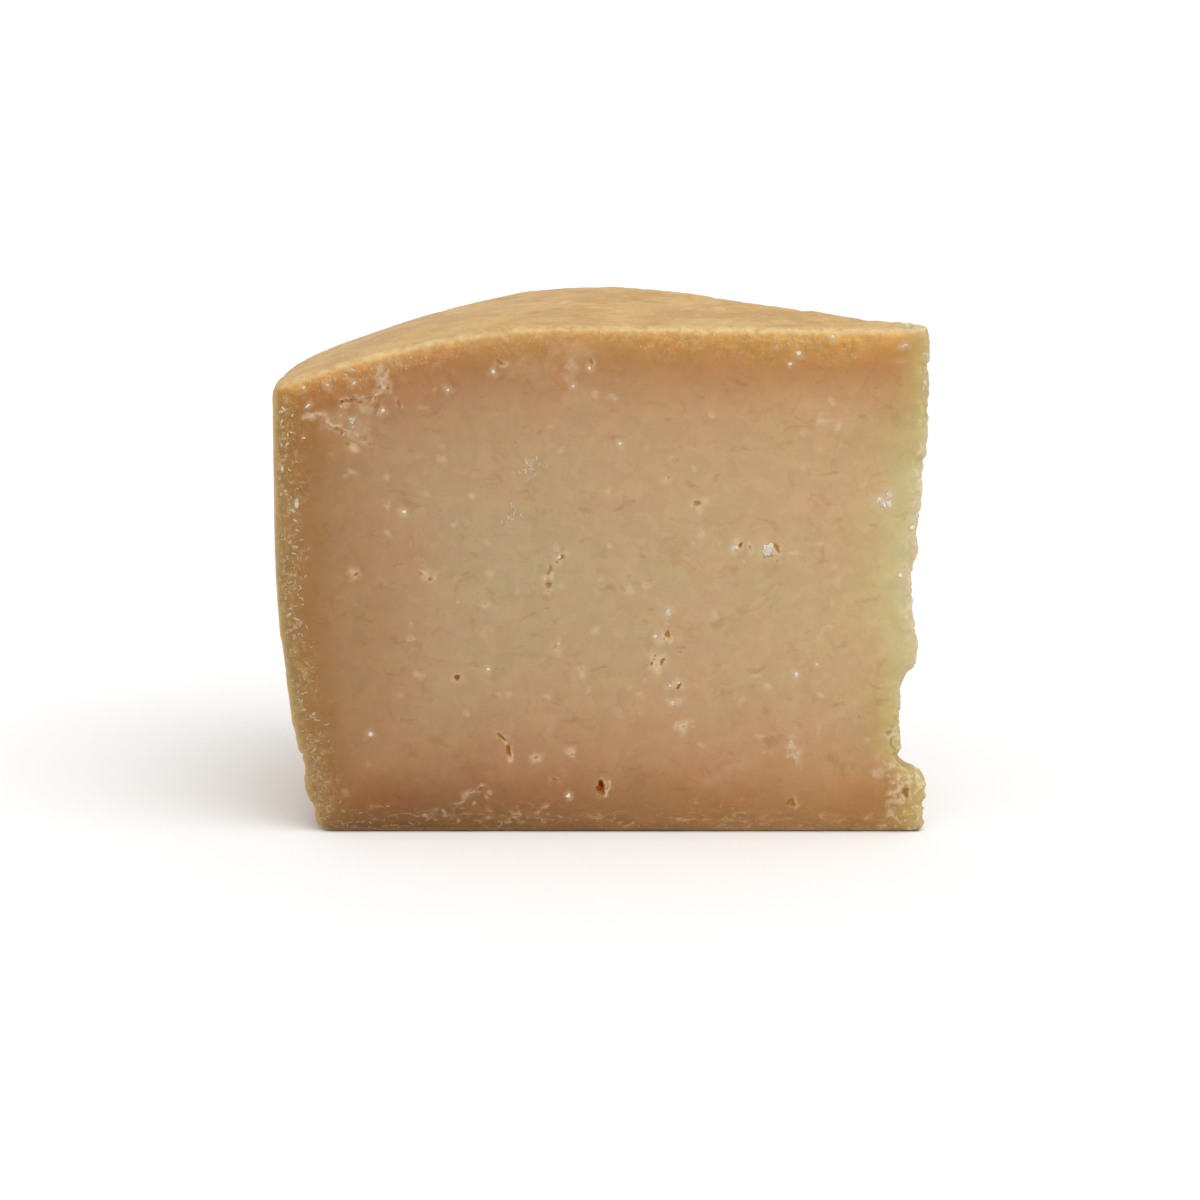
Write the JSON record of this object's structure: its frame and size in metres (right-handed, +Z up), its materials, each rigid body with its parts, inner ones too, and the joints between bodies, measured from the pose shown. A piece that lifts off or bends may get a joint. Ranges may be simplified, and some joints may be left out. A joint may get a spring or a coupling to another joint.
{
  "type": "cheese wedge",
  "caption": "Wedge of hard aged cheese cut from a drum-shaped wheel, with rind on the top, base and back, two cut faces and a broken tip.",
  "frame": {"origin": "middle of the bounding box at the height of the flat base that the wedge stands on", "axes": "+X along the front cut face from the rind to the broken tip, +Y away from the front cut face, +Z up"},
  "size_m": [0.1246, 0.079, 0.0992],
  "materials": {
    "cheese": "smooth, faintly oily cut paste, pinkish tan in the middle, gold to brown under a thin olive rind"
  },
  "bodies": {
    "root": {"cheese_wedge": "cheese"}
  },
  "joints": []
}
